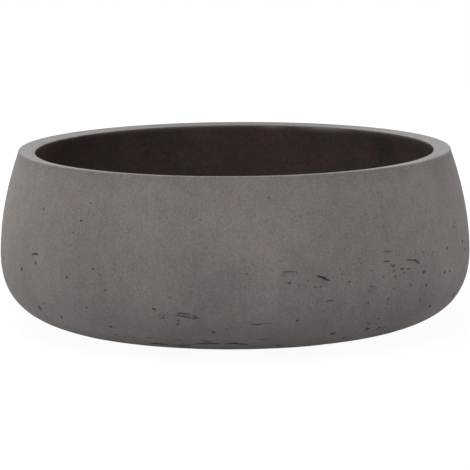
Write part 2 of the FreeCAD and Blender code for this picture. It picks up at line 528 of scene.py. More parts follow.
# %% The flake cutter
flake_lumps = []
for azimuth, height, width, tall, depth, tilt in flakes:
    ball = random.choice(fine_balls)
    lump = set_ball(ball, (azimuth, height), width, tall, depth, lift=0.6, tilt=tilt, rake=3)
    flake_lumps.append(lump)
flake_cutter = join(flake_lumps, "flake_cutter")

# %% The crack cutter
BEAD_STEP = 0.8
BEAD_LENGTH = 2.0
BEAD_WIDTHS = (0.65, 1.3)
BEAD_SHAKE = 0.25
CRACK_END = 0.35
WELD_VOXEL = 0.42 * MM


def beads_along(places):
    """Evenly spaced places along a crack."""
    beads = [places[0]]
    for start, end in zip(places, places[1:]):
        along = math.radians(end[0] - start[0]) * BELLY_RADIUS / MM
        steps = math.ceil(math.hypot(along, end[1] - start[1]) / BEAD_STEP)
        beads += straight(start, end, steps)
    return beads


crack_lumps = []
for width, depth, *places in cracks:
    beads = beads_along(places)
    for bead, (azimuth, height) in enumerate(beads):
        taper = CRACK_END + (1 - CRACK_END) * math.sin(math.pi * (bead + 0.5) / len(beads))
        tall = width * taper * random.uniform(*BEAD_WIDTHS)
        place = (azimuth, height + random.uniform(-BEAD_SHAKE, BEAD_SHAKE))
        ball = random.choice(small_balls)
        crack_lumps.append(set_ball(ball, place, BEAD_LENGTH, tall, depth * taper, lift=0.1, rake=20))
crack_cutter = join(crack_lumps, "crack_cutter")
weld = crack_cutter.modifiers.new("weld_beads", "REMESH")
weld.mode = "VOXEL"
weld.voxel_size = WELD_VOXEL
apply_modifiers(crack_cutter)
tell(crack_cutter)

# %% The hole cutter
HOLE_TALLS = (0.6, 0.9)
HOLE_TILT = 30
PIN_TALL = 0.8
PIN_DEPTH = 0.4
PIN_LIFT = 0.45
# Kinds of hole: places, balls, depth as a share of the width, lift, and rake in degrees.
HOLE_KINDS = [
    (DEEP_HOLES + back_deep, hole_balls, 0.36, 0.25, 10),
    (SHALLOW_HOLES + back_shallow, small_balls, 0.32, 0.32, 0),
]
hole_lumps = []
for holes, balls, depth_share, lift, rake in HOLE_KINDS:
    for azimuth, height, width in holes:
        tall = width * random.uniform(*HOLE_TALLS)
        tilt = random.uniform(-HOLE_TILT, HOLE_TILT)
        ball = random.choice(balls)
        lump = set_ball(ball, (azimuth, height), width, tall, width * depth_share, lift, tilt, rake)
        hole_lumps.append(lump)
for azimuth, height, width in pin_holes:
    ball = random.choice(small_balls)
    lump = set_ball(ball, (azimuth, height), width, width * PIN_TALL, width * PIN_DEPTH, PIN_LIFT)
    hole_lumps.append(lump)
hole_cutter = join(hole_lumps, "hole_cutter")
for ball in fine_balls + hole_balls + small_balls:
    bpy.data.objects.remove(ball)

# %% [markdown]
# A Boolean leaves the cutter's material on the faces that it makes, so each cutter carries a marker material
# of its own, and the faces of flakes, cracks and holes can be told apart afterwards.

# %% Cut the marks
skin = bpy.data.materials.new("cast_cement")
markers = [bpy.data.materials.new(f"{mark}_marker") for mark in ("flake", "crack", "hole")]
for material in (skin, *markers):
    bowl.data.materials.append(material)


def combine(piece, other, how):
    """Cuts a piece with another or joins the other on, and then takes the other away."""
    step = piece.modifiers.new(other.name, "BOOLEAN")
    step.operation = how
    step.solver = "MANIFOLD"
    step.object = other
    apply_modifiers(piece)
    bpy.data.objects.remove(other)


def cut_with(cutter, marker):
    """Takes a cutter away from the bowl; the new faces carry the marker's number."""
    for material in (skin, *markers):
        cutter.data.materials.append(material)
    for face in cutter.data.polygons:
        face.material_index = marker
    combine(bowl, cutter, "DIFFERENCE")
    tell(bowl)


cut_with(flake_cutter, 1)
cut_with(crack_cutter, 2)
cut_with(hole_cutter, 3)

# %% [markdown]
# Where cuts cross the fine skin, some points fall together and leave flaps and crumbs too small to see.
# They could be picked by hand, but a rule finds them all. Faces become triangles first, because a many-sided
# face that reaches round a hole would be lost when points merge.

# %% Clean the cut skin
SMALL_HOLE_SIDES = 8


def clean(piece, reach):
    """Merges points that fell together, takes away flaps and crumbs, and closes what they leave open."""
    go_inside(piece, "FACE")
    bpy.ops.mesh.select_all(action="SELECT")
    bpy.ops.mesh.quads_convert_to_tris()
    bpy.ops.mesh.remove_doubles(threshold=reach)
    bpy.ops.mesh.dissolve_degenerate(threshold=reach)
    bpy.ops.mesh.quads_convert_to_tris()
    bpy.ops.mesh.select_all(action="DESELECT")
    mesh = bmesh.from_edit_mesh(piece.data)
    for face in mesh.faces:
        shares = [len(edge.link_faces) for edge in face.edges]
        face.select_set(min(shares) == 1 and max(shares) > 2)
    bpy.ops.mesh.delete(type="ONLY_FACE")
    bpy.ops.mesh.select_all(action="SELECT")
    bpy.ops.mesh.delete_loose()
    bpy.ops.mesh.select_all(action="DESELECT")
    mesh = bmesh.from_edit_mesh(piece.data)
    largest = max(mesh.faces, key=lambda face: face.calc_area())
    largest.select_set(True)
    bpy.ops.mesh.select_linked()
    bpy.ops.mesh.select_all(action="INVERT")
    bpy.ops.mesh.delete(type="FACE")
    bpy.ops.mesh.select_all(action="SELECT")
    bpy.ops.mesh.fill_holes(sides=SMALL_HOLE_SIDES)
    bpy.ops.object.mode_set(mode="OBJECT")


clean(bowl, MERGE_REACH)
tell(bowl)

# %% Remember the marks with their painted shade, and the rubbed rim with its painted highlight
# How much painted shade each kind of face gets: skin, flake, crack and hole.
MARK_SHADE_SHARES = (0.0, 0.35, 1.0, 0.5)
RUBBED_AND_LIT_Z = RIM_Z - 3 * MM
FACES_UP = 0.5
BOWL_CREASE = 38


def smooth(piece, crease):
    """Shades a piece smooth, apart from edges that turn by more than crease, in degrees."""
    take(piece)
    bpy.ops.object.shade_smooth_by_angle(angle=math.radians(crease))


mark_shade = [MARK_SHADE_SHARES[face.material_index] for face in bowl.data.polygons]
# Faces up at the rim's top: rubbed cement, with a painted highlight there.
rubbed_and_lit = [float(face.center.z > RUBBED_AND_LIT_Z and face.normal.z > FACES_UP) for face in bowl.data.polygons]
for name, values in (("void", mark_shade), ("rubbed_and_lit", rubbed_and_lit)):
    share = bowl.data.attributes.new(name, "FLOAT", "FACE")
    share.data.foreach_set("value", values)
for face in bowl.data.polygons:
    face.material_index = 0
for marker in markers:
    bowl.data.materials.pop()
    bpy.data.materials.remove(marker)
smooth(bowl, BOWL_CREASE)
print(sum(value > 0 for value in mark_shade), "faces inside marks,", int(sum(rubbed_and_lit)), "on the rubbed rim")

# %% [markdown]
# The inside is sealed with a thick dark coat that was brushed on up to just below the rim.
# The wall could be painted dark instead, but a coat has an edge. So it starts as a sheet on the wall: its top
# is pulled unevenly as a brush leaves it, laid back on the wall with a shrinkwrap, and only then given its
# thickness, thin at the edge.

# %% The seal coat's sheet
COAT_SEGMENTS = 400
COAT_STEPS = (40, 20)
COAT_FLOOR_STEPS = 8
EDGE_BEHIND = 0.4 * MM
SHEET_EDGE_REACH = 0.1 * MM
sheet_points = side_curve(WALL, FLOOR_Z, *COAT_STEPS)
sheet_points[0] = (rim_inner[0] + EDGE_BEHIND, COAT_TOP_Z)
sheet_points += straight(sheet_points[-1], drain_top, COAT_FLOOR_STEPS)
coat = draw_profile("seal_coat", sheet_points)
spin_profile(coat, COAT_SEGMENTS)
tip_ring(coat, *sheet_points[0], SHEET_EDGE_REACH, RIM_TIPS)

# %% The brushed edge
EDGE_BAND = 14 * MM
EDGE_FADE = 1.5
EDGE_THICKNESS = 0.2
EDGE_GAIN = 6
STROKE = 45 * MM
STROKE_FLATNESS = 12
STROKE_SHARE = 0.18
brushed_edge = coat.vertex_groups.new(name="brushed_edge")
full_coat = coat.vertex_groups.new(name="full_coat")
for point in coat.data.vertices:
    depth = (COAT_TOP_Z - point.co.z) / EDGE_BAND
    brushed_edge.add([point.index], max(1 - depth, 0) ** EDGE_FADE, "REPLACE")
    stroke = noise_field.noise(Vector((point.co.x, point.co.y, point.co.z * STROKE_FLATNESS)) / STROKE)
    laid_on = min(1, EDGE_THICKNESS + EDGE_GAIN * max(depth, 0))
    full_coat.add([point.index], laid_on * (1 - STROKE_SHARE + STROKE_SHARE * stroke), "REPLACE")
for name, size, drop in (("brush_sweep", 24 * MM, 1.3 * MM), ("brush_hairs", 6 * MM, 0.4 * MM)):
    move_by_clouds(coat, name, "brushed_edge", size, rounds=2, strength=-drop, level=0.45, direction="Z")
apply_modifiers(coat)
for point in coat.data.vertices:
    point.co.z = min(point.co.z, COAT_TOP_Z)
print(f"the brushed edge reaches {max(point.co.z for point in coat.data.vertices) / MM:.1f} mm up")

# %% Lay the sheet on the wall and give it its thickness
COAT_CREASE = 50
lay = coat.modifiers.new("on_the_wall", "SHRINKWRAP")
lay.target = bowl
lay.wrap_method = "NEAREST_SURFACEPOINT"
apply_modifiers(coat)
go_inside(coat, "FACE")
bpy.ops.mesh.select_all(action="SELECT")
bpy.ops.mesh.normals_make_consistent(inside=True)
bpy.ops.object.mode_set(mode="OBJECT")
thick = coat.modifiers.new("coat_thickness", "SOLIDIFY")
thick.thickness = COAT
thick.offset = 1
thick.vertex_group = "full_coat"
apply_modifiers(coat)
smooth(coat, COAT_CREASE)
tell(coat)


# %% [markdown]
# The drain plug is moulded rubber: a dished flange that lies on the coat, a shank with sealing ribs and a
# tapered nose. It could be stacked from cylinders, but a spun profile gives it in one skin, like the bowl.

# %% The drain plug's sizes
plug_low, plug_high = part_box("drain_plug")
FLANGE_RADIUS = plug_high.x
FLANGE_LOW = FLOOR_Z + COAT
FLANGE_TOP = FLANGE_LOW + 4 * MM
DISH_Z = FLANGE_TOP - 0.5 * MM
DISH_FOOT = FLANGE_RADIUS - 6 * MM
DISH_EDGE = FLANGE_RADIUS - 5 * MM
RIB_RADIUS = DRAIN_RADIUS - 0.05 * MM
SHANK_RADIUS = RIB_RADIUS - 0.7 * MM
NOSE_RADIUS = SHANK_RADIUS - 1.2 * MM
NOSE_Z = plug_low.z
SHANK_LOW = NOSE_Z + 3.5 * MM
RIBS = 3
RIB_FOOT = 1.5 * MM
RIB_LAND = 0.3 * MM
print(f"plug {2 * FLANGE_RADIUS / MM:.0f} mm across and {(plug_high.z - NOSE_Z) / MM:.1f} mm tall")

# %% The drain plug, spun
PLUG_SEGMENTS = 96
plug_points = [(0, DISH_Z), (DISH_FOOT, DISH_Z), (DISH_EDGE, FLANGE_TOP)]
plug_points += [(FLANGE_RADIUS, FLANGE_TOP), (FLANGE_RADIUS, FLANGE_LOW), (SHANK_RADIUS, FLANGE_LOW)]
rib_pitch = (FLANGE_LOW - SHANK_LOW) / RIBS
for rib in range(RIBS):
    rib_z = FLANGE_LOW - (rib + 0.5) * rib_pitch
    plug_points += [(SHANK_RADIUS, rib_z + RIB_FOOT), (RIB_RADIUS, rib_z + RIB_LAND)]
    plug_points += [(RIB_RADIUS, rib_z - RIB_LAND), (SHANK_RADIUS, rib_z - RIB_FOOT)]
plug_points += [(SHANK_RADIUS, SHANK_LOW), (NOSE_RADIUS, NOSE_Z), (0, NOSE_Z)]
plug = draw_profile("moulded_plug", plug_points)
spin_profile(plug, PLUG_SEGMENTS)
bevel_ring(plug, FLANGE_RADIUS, FLANGE_TOP, width=1.5 * MM, segments=5)
bevel_ring(plug, FLANGE_RADIUS, FLANGE_LOW, width=0.4 * MM, segments=2)
bevel_ring(plug, NOSE_RADIUS, NOSE_Z, width=0.6 * MM, segments=3)

# %% [markdown]
# The tab on the plug is what a finger and thumb pull: a block with two large rounded corners on top and soft
# edges. A thumb hollow in each side is a ball taken away with a Boolean, because an inset would leave a flat
# floor there. Another Boolean makes one moulding of tab and plug.

# %% The pull tab
TAB_WIDTH = 20 * MM
TAB_THICKNESS = 6 * MM
TAB_CORNER = 7 * MM
TAB_ROUND = 1.1 * MM
TAB_CREASE = 50
TAB_ROOT = FLANGE_TOP - 2 * MM
TAB_TOP = plug_high.z
start_fresh()
bpy.ops.mesh.primitive_cube_add(size=1, location=(0, 0, (TAB_ROOT + TAB_TOP) / 2))
tab = bpy.context.object
tab.name = "pull_tab"
tab.scale = (TAB_WIDTH, TAB_THICKNESS, TAB_TOP - TAB_ROOT)
bpy.ops.object.transform_apply(location=True, rotation=True, scale=True)
mesh = go_inside(tab, "EDGE")
for edge in mesh.edges:
    middle = (edge.verts[0].co + edge.verts[1].co) / 2
    is_top_corner = abs(middle.y) < PICK_REACH and middle.z > TAB_TOP - PICK_REACH
    edge.select_set(is_top_corner)
bpy.ops.mesh.bevel(offset=TAB_CORNER, segments=10, affect="EDGES")
bpy.ops.object.mode_set(mode="OBJECT")
edges = tab.modifiers.new("moulded_edges", "BEVEL")
edges.width = TAB_ROUND
edges.segments = 4
edges.limit_method = "ANGLE"
edges.angle_limit = math.radians(TAB_CREASE)
apply_modifiers(tab)
tell(tab)

# %% Thumb hollows, and one moulding of tab and plug
THUMB_RADIUS = 5 * MM
THUMB_SHAPE = (1.3, 1, 1.1)
THUMB_OUT = 7.2 * MM
THUMB_UP = 8 * MM
PLUG_CREASE = 35
for side in (-1, 1):
    start_fresh()
    place = (0, side * THUMB_OUT, FLANGE_TOP + THUMB_UP)
    bpy.ops.mesh.primitive_uv_sphere_add(segments=48, ring_count=24, radius=THUMB_RADIUS, location=place)
    thumb = bpy.context.object
    thumb.scale = THUMB_SHAPE
    bpy.ops.object.transform_apply(location=True, rotation=True, scale=True)
    combine(tab, thumb, "DIFFERENCE")
combine(plug, tab, "UNION")
smooth(plug, PLUG_CREASE)
tell(plug)


# %% [markdown]
# Finishes are built from nodes on Object coordinates, so a pattern keeps its real size in millimetres.
# Image textures would need a layout and would blur close up. Small helpers add a node, set its sockets and
# join its links in one line.

# %% Helpers for nodes
NOISE_LOW = 0.3
NOISE_HIGH = 0.7


def add(tree, kind, sockets=None, **settings):
    """A new node, with its settings, and its sockets set to values or linked to other nodes."""
    node = tree.nodes.new(kind)
    for name, value in settings.items():
        setattr(node, name, value)
    for name, value in (sockets or {}).items():
        if isinstance(value, bpy.types.NodeSocket):
            tree.links.new(value, node.inputs[name])
        else:
            node.inputs[name].default_value = value
    return node


def noise(tree, where, pattern_size, detail=4.0, roughness=0.55):
    """A noise pattern whose blobs are about pattern_size across, in metres; it gives a grey value."""
    sockets = {"Vector": where, "Scale": 1 / pattern_size, "Detail": detail, "Roughness": roughness}
    return add(tree, "ShaderNodeTexNoise", sockets).outputs["Fac"]


def ramp(tree, value, low, high, low_gives=0.0, high_gives=1.0):
    """Maps a value smoothly from one range to another."""
    sockets = {"Value": value, "From Min": low, "From Max": high, "To Min": low_gives, "To Max": high_gives}
    return add(tree, "ShaderNodeMapRange", sockets, interpolation_type="SMOOTHSTEP").outputs["Result"]


def spread(tree, pattern, low_gives, high_gives):
    """Spreads a noise pattern, most of which lies between two grey values, over a range."""
    return ramp(tree, pattern, NOISE_LOW, NOISE_HIGH, low_gives, high_gives)


def times(tree, first, second):
    return add(tree, "ShaderNodeMath", {0: first, 1: second}, operation="MULTIPLY").outputs[0]


def plus(tree, first, second):
    return add(tree, "ShaderNodeMath", {0: first, 1: second}, operation="ADD").outputs[0]


# %% Helpers for colours and tones
def blend(tree, share, under, over, how="MIX"):
    """Lays one colour over another by a share, mixed or multiplied."""
    mix = add(tree, "ShaderNodeMix", data_type="RGBA", blend_type=how)
    for index, value in ((0, share), (6, under), (7, over)):
        if isinstance(value, bpy.types.NodeSocket):
            tree.links.new(value, mix.inputs[index])
        elif index == 0:
            mix.inputs[index].default_value = value
        else:
            mix.inputs[index].default_value = (*value, 1)
    return mix.outputs[2]


def toned(tree, colour, tone):
    """A colour made paler or darker by a tone, where 1 leaves it as it is."""
    grey = add(tree, "ShaderNodeCombineColor", {"Red": tone, "Green": tone, "Blue": tone})
    return blend(tree, 1.0, colour, grey.outputs["Color"], "MULTIPLY")


def spot(tree, where, centre, reach):
    """1 at a place, falling smoothly to 0 at a reach from it."""
    away = add(tree, "ShaderNodeVectorMath", {0: where, 1: centre}, operation="DISTANCE").outputs["Value"]
    return ramp(tree, away, 0, reach, 1, 0)


def changed(tree, tone, share, change):
    """A tone with a change laid over it by a share: 0.1 makes it a tenth paler, -0.1 a tenth darker."""
    return times(tree, tone, plus(tree, times(tree, share, change), 1))


def stretched(tree, where, x, y, z):
    """Object coordinates scaled along each axis, for streaks."""
    return add(tree, "ShaderNodeMapping", {"Vector": where, "Scale": (x, y, z)}).outputs["Vector"]


# %% Start and end of a finish
def start_finish(material):
    """Clears a material to one principled shader; gives its tree, shader and Object coordinates."""
    material.use_nodes = True
    tree = material.node_tree
    tree.nodes.clear()
    shader = add(tree, "ShaderNodeBsdfPrincipled")
    add(tree, "ShaderNodeOutputMaterial", {"Surface": shader.outputs["BSDF"]})
    where = add(tree, "ShaderNodeTexCoord").outputs["Object"]
    return tree, shader, where


def end_finish(tree, shader, colour, roughness, relief, depth, strength):
    """Joins a finish's colour, roughness and relief to its shader."""
    bump = add(tree, "ShaderNodeBump", {"Height": relief, "Distance": depth, "Strength": strength})
    tree.links.new(colour, shader.inputs["Base Color"])
    tree.links.new(roughness, shader.inputs["Roughness"])
    tree.links.new(bump.outputs["Normal"], shader.inputs["Normal"])


# %% [markdown]
# The cement is a warm mid grey. Close up it is a mix of sand grains, and from further off it has cloudy
# patches and broad spots, some of them stains and some painted light and painted shade. The heel is darker
# with painted shade, the rubbed rim paler and cooler with a painted highlight on its top, and torn faces are
# darker with painted shade. One noise would look like fog, so each scale has its own pattern, and the broad
# spots that the picture shows are soft spots at their places.

# %% Colours, stains and painted light of the cement
CEMENT_DARK = (0.254, 0.229, 0.215)
CEMENT_PALE = (0.27, 0.245, 0.231)
CEMENT_WARM = (0.273, 0.229, 0.219)
CEMENT_COOL = (0.248, 0.238, 0.219)
# The rim's top: rubbed cement, paler and cooler, with a painted highlight.
CEMENT_RUBBED_AND_LIT = (0.317, 0.304, 0.294)
# Torn faces are darkened by painted shade.
MARK_SHADE_TONE = 0.7
GRAIN_SIZE = 1.3 * MM
# Sand grains: how a grain fades towards the edge of its cell, and which are pale or dark and by how much.
GRAIN_EDGE = (0.2, 0.42, 1, 0)
PALE_GRAINS = (0.9, 0.94, 0, 0.24)
DARK_GRAINS = (0.06, 0.1, -0.34, 0)
# Bands of height: start, end, and the tone at both. Two darken the heel with painted shade, and one darkens
# the wall towards the edge of the rim.
BANDS = [
    (BASE_Z, BASE_Z + 13 * MM, 0.86, 1),
    (BASE_Z + 4 * MM, BASE_Z + 10 * MM, 0.68, 1),
    (RIM_Z - 16 * MM, RIM_Z - 2 * MM, 1, 0.93),
]
# Stains and painted light: place as an angle and a height, reach in mm, and how much they lighten or darken.
# Some are stains of the cement, and some are painted light and painted shade.
STAINS_AND_PAINTED_LIGHT = [
    (-7, 68, 56, -0.12), (3, 100, 34, 0.06), (15, 101, 30, 0.07), (-26, 118, 60, 0.01), (28, 82, 60, 0.03),
    (46, 20, 60, -0.15), (-38, 78, 60, -0.04), (-58, 66, 40, -0.03), (62, 62, 40, 0.05),
    (66, 145, 40, -0.16), (0, 20, 56, 0.05), (14, 68, 36, -0.08), (-6, 54, 40, -0.04), (-22, 28, 56, 0.08),
    (2, 60, 40, -0.05), (-46, 42, 50, 0.09),
]
# The far side of the rim is darker with painted shade: the middle of that shade, its reach and its change.
BACK_RIM_PAINTED_SHADE = ((0, RIM_RADIUS, RIM_Z), 170 * MM, -0.27)
# Some of the stains are painted light and painted shade.
print(len(STAINS_AND_PAINTED_LIGHT), "stains on the cement")


# %% Cement
def sand_grains(tree, where):
    """Single pale and dark grains: above 0 on a pale one, below 0 on a dark one, else 0."""
    cells = add(tree, "ShaderNodeTexVoronoi", {"Vector": where, "Scale": 1 / GRAIN_SIZE})
    pick = add(tree, "ShaderNodeSeparateColor", {"Color": cells.outputs["Color"]}).outputs["Red"]
    inside = ramp(tree, cells.outputs["Distance"], *GRAIN_EDGE)
    change = plus(tree, ramp(tree, pick, *PALE_GRAINS), ramp(tree, pick, *DARK_GRAINS))
    return times(tree, inside, change)


def cement_colour(tree, where, rubbed_and_lit_share):
    """Grey in clouds, with warmer and cooler patches, and the rubbed rim with its painted highlight over
    them.
    """
    clouds = noise(tree, where, 60 * MM)
    warm = noise(tree, where, 30 * MM)
    cool = noise(tree, stretched(tree, where, 1, 1, 1.3), 36 * MM)
    colour = blend(tree, ramp(tree, clouds, 0.35, 0.65), CEMENT_DARK, CEMENT_PALE)
    colour = blend(tree, ramp(tree, warm, 0.55, 0.75, 0, 0.5), colour, CEMENT_WARM)
    colour = blend(tree, ramp(tree, cool, 0.55, 0.75, 0, 0.5), colour, CEMENT_COOL)
    return blend(tree, rubbed_and_lit_share, colour, CEMENT_RUBBED_AND_LIT)


def cement_tone(tree, where, grain, sand, mottle, rubbed_and_lit_share):
    """Cement tone: grains, then streaks, bands of height, stains mixed with painted light, and painted shade
    in torn faces.
    """
    height = add(tree, "ShaderNodeSeparateXYZ", {"Vector": where}).outputs["Z"]
    streaks = noise(tree, stretched(tree, where, 160, 160, 9), 1, detail=3)
    tone = plus(tree, spread(tree, grain, 0.895, 1.105), spread(tree, sand, -0.085, 0.085))
    tone = plus(tree, tone, sand_grains(tree, where))
    tone = times(tree, tone, spread(tree, streaks, 0.97, 1.03))
    tone = times(tree, tone, spread(tree, mottle, 0.946, 1.054))
    # The heel bands are painted shade where the bowl turns under near the floor.
    for band in BANDS:
        tone = times(tree, tone, ramp(tree, height, *band))
    # Stains mixed with painted light and painted shade.
    for azimuth, level, reach, change in STAINS_AND_PAINTED_LIGHT:
        centre = skin_frame(azimuth, level).translation
        tone = changed(tree, tone, spot(tree, where, centre, reach * MM), change)
    # Painted shade on the far side of the rim's top.
    centre, reach, change = BACK_RIM_PAINTED_SHADE
    tone = changed(tree, tone, times(tree, spot(tree, where, centre, reach), rubbed_and_lit_share), change)
    # Painted shade in flakes, cracks and holes.
    mark_shade_share = add(tree, "ShaderNodeAttribute", attribute_name="void").outputs["Fac"]
    return times(tree, tone, ramp(tree, mark_shade_share, 0, 1, 1, MARK_SHADE_TONE))


def finish_cement(material):
    tree, shader, where = start_finish(material)
    mottle = noise(tree, where, 14 * MM, detail=7, roughness=0.62)
    grain = noise(tree, where, 1.7 * MM, detail=3, roughness=0.6)
    sand = noise(tree, where, 0.6 * MM, detail=2, roughness=0.6)
    rubbed_and_lit_share = add(tree, "ShaderNodeAttribute", attribute_name="rubbed_and_lit").outputs["Fac"]
    tone = cement_tone(tree, where, grain, sand, mottle, rubbed_and_lit_share)
    colour = toned(tree, cement_colour(tree, where, rubbed_and_lit_share), tone)
    relief = plus(tree, times(tree, sand, 0.35), times(tree, mottle, 0.5))
    relief = plus(tree, times(tree, grain, 0.6), relief)
    shader.inputs["Specular IOR Level"].default_value = 0.1
    shader.inputs["Diffuse Roughness"].default_value = 1
    roughness = spread(tree, mottle, 0.82, 0.95)
    end_finish(tree, shader, colour, roughness, relief, depth=0.35 * MM, strength=0.8)


finish_cement(skin)
print("cement finish:", len(skin.node_tree.nodes), "nodes")


# %% [markdown]
# The coat is nearly black brown with brush streaks round the wall. Near its edge it thins, and at two places
# the cement shows through. The streaks are a noise squeezed in height, which needs no layout on the wall.

# %% Colours and places of the seal coat
COAT_BLACK = (0.059, 0.051, 0.044)
COAT_BROWN = (0.082, 0.051, 0.0455)
COAT_PATCH = (0.088, 0.066, 0.0575)
COAT_STREAK = (0.105, 0.073, 0.066)
COAT_DARK_SPECK = (0.035, 0.028, 0.024)
COAT_PALE_SPECK = (0.14, 0.1, 0.085)
SHOWS_THROUGH = (0.25, 0.22, 0.205)
# Worn places at the edge: place and reach in mm, and how much of the cement shows.
WORN_PLACES = [((36, 170, 151), 16, 0.4), ((82, 153, 151), 36, 0.6)]
# Painted light and painted shade at places on the coat: place and reach in mm, and how much they lighten or
# darken.
COAT_PAINTED_LIGHT = [
    ((-168, 37, 150), 30, 0.3), ((-101, 139, 154), 26, 0.12), ((84, 151, 153), 22, 0.14),
    ((8, 177, 138), 34, -0.06), ((66, 165, 134), 26, -0.1), ((138, 112, 136), 32, -0.24),
    ((120, 136, 118), 22, 0.13), ((0, 184, 106), 46, -0.12), ((-135, 114, 135), 26, -0.1),
]
# The coat's tone places are painted light and painted shade.
print(len(WORN_PLACES), "worn places and", len(COAT_PAINTED_LIGHT), "thick or thin ones on the coat")


# %% Seal coat
def coat_colour(tree, where, patches, streaks):
    """Black and brown in blotches, with patches, streaks and specks, and painted light and shade at places.
    """
    speckle = noise(tree, where, 3 * MM, detail=4, roughness=0.7)
    blotches = noise(tree, stretched(tree, where, 1, 1, 1.6), 22 * MM, detail=5, roughness=0.65)
    colour = blend(tree, ramp(tree, blotches, 0.38, 0.62), COAT_BLACK, COAT_BROWN)
    colour = blend(tree, ramp(tree, patches, 0.35, 0.68, 0, 0.5), colour, COAT_PATCH)
    colour = blend(tree, ramp(tree, streaks, 0.5, 0.8, 0, 0.3), colour, COAT_STREAK)
    colour = blend(tree, ramp(tree, speckle, 0.3, 0.5, 0.5, 0), colour, COAT_DARK_SPECK)
    colour = blend(tree, ramp(tree, speckle, 0.56, 0.75, 0, 0.5), colour, COAT_PALE_SPECK)
    tone = 1.0
    # Painted light and painted shade at places on the coat.
    for place, reach, change in COAT_PAINTED_LIGHT:
        tone = changed(tree, tone, spot(tree, where, Vector(place) * MM, reach * MM), change)
    return toned(tree, colour, tone)


def worn_share(tree, where, patches):
    """How much of the cement shows through: a little all along the edge, and more at the worn places."""
    height = add(tree, "ShaderNodeSeparateXYZ", {"Vector": where}).outputs["Z"]
    worn = 0.0
    for place, reach, strength in WORN_PLACES:
        worn = plus(tree, times(tree, spot(tree, where, Vector(place) * MM, reach * MM), strength), worn)
    worn = times(tree, worn, ramp(tree, height, COAT_TOP_Z - 6 * MM, COAT_TOP_Z))
    worn = times(tree, worn, ramp(tree, patches, 0.3, 0.6, 0.3, 1))
    thin_edge = ramp(tree, height, COAT_TOP_Z - 2.4 * MM, COAT_TOP_Z + 0.4 * MM, 0, 0.4)
    return plus(tree, worn, thin_edge)


def finish_coat(material):
    tree, shader, where = start_finish(material)
    patches = noise(tree, where, 40 * MM, detail=5, roughness=0.6)
    streaks = noise(tree, stretched(tree, where, 14, 14, 160), 1)
    colour = coat_colour(tree, where, patches, streaks)
    colour = blend(tree, worn_share(tree, where, patches), colour, SHOWS_THROUGH)
    relief = plus(tree, times(tree, streaks, 0.7), times(tree, patches, 0.4))
    shader.inputs["Specular IOR Level"].default_value = 0.03
    roughness = spread(tree, streaks, 0.7, 0.9)
    end_finish(tree, shader, colour, roughness, relief, depth=0.4 * MM, strength=0.5)


coat_skin = bpy.data.materials.new("brushed_coat")
coat.data.materials.append(coat_skin)
finish_coat(coat_skin)
print("coat finish:", len(coat_skin.node_tree.nodes), "nodes")


# %% [markdown]
# Moulded rubber is nearly black, with a pale bloom in patches and a very fine grain; a plain black would
# look like a hole. The plug and the pads share one finish in two greys. The pads' shape in the frame is
# right, so they only get the finish.

# %% Rubber
PLUG_DARK = (0.022, 0.022, 0.023)
PLUG_BLOOM = (0.04, 0.039, 0.038)
PAD_DARK = (0.04, 0.039, 0.038)
PAD_BLOOM = (0.062, 0.06, 0.057)


def finish_rubber(material, dark, pale):
    tree, shader, where = start_finish(material)
    bloom = noise(tree, where, 9 * MM, detail=5, roughness=0.6)
    grain = noise(tree, where, 0.5 * MM, detail=2)
    colour = blend(tree, ramp(tree, bloom, 0.35, 0.7), dark, pale)
    roughness = spread(tree, bloom, 0.5, 0.72)
    end_finish(tree, shader, colour, roughness, grain, depth=0.1 * MM, strength=0.6)


plug_rubber = bpy.data.materials.new("plug_rubber")
finish_rubber(plug_rubber, PLUG_DARK, PLUG_BLOOM)
pad_rubber = bpy.data.materials.new("pad_rubber")
finish_rubber(pad_rubber, PAD_DARK, PAD_BLOOM)
pads = [node for name, node in frame["nodes"].items() if name.startswith("foot_pad")]
for pad in pads:
    pad.data.materials.clear()
    pad.data.materials.append(pad_rubber)
plug.data.materials.clear()
plug.data.materials.append(plug_rubber)
print("rubber on the plug and", len(pads), "pads")

# %% [markdown]
# The bowl and its coat are one body, and the plug is another that lifts out of the drain hole. Each new piece
# rides on its body and stands for the frame's plain solid, so it moves as that solid does.

# %% Ride on the frame
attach(bowl, "bowl")
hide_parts("cement_bowl")
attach(coat, "bowl")
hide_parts("inner_seal_coat")
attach(plug, "plug")
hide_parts("drain_plug")

# %% [markdown]
# The picture stands the bowl on plain white. A lit white floor would throw too much light up at the bowl, so
# this one has two faces. To the camera it is white, with the bowl's soft shadow, and a painted shadow makes
# it dark under the base. To light that bounces it is grey, and nearly black close to the bowl: painted shade
# for the bowl's shadow on the floor.

# %% Floor
FLOOR_SIZE = 12
start_fresh()
bpy.ops.mesh.primitive_plane_add(size=FLOOR_SIZE)
floor = bpy.context.object
floor.name = "studio_floor"
print("floor", FLOOR_SIZE, "m wide")

# %% Floor paint
SENT_UP = 0.12
SHADOW_GREY = 0.08
# Rings of the floor: inner and outer radius in metres, and the level at both.
# Close to the bowl the bounce ring is nearly black: painted shade for the bowl's shadow on the floor.
BOUNCE_RING_WITH_PAINTED_SHADE = (0.16, 0.25, 0.05, 0.52)
GLOW_RING = (0.3, 0.9, 0.95, 1)
# The base ring is a painted shadow under the base.
BASE_PAINTED_SHADOW_RING = (0.05, 0.11, 0.03, 1)


def seen_share(tree):
    """1 where the camera, a reflection or a view through glass looks, 0 where light bounces."""
    path = add(tree, "ShaderNodeLightPath")
    seen = path.outputs["Is Camera Ray"]
    for ray in ("Is Glossy Ray", "Is Transmission Ray"):
        seen = add(tree, "ShaderNodeMath", {0: seen, 1: path.outputs[ray]}, operation="MAXIMUM").outputs[0]
    return seen


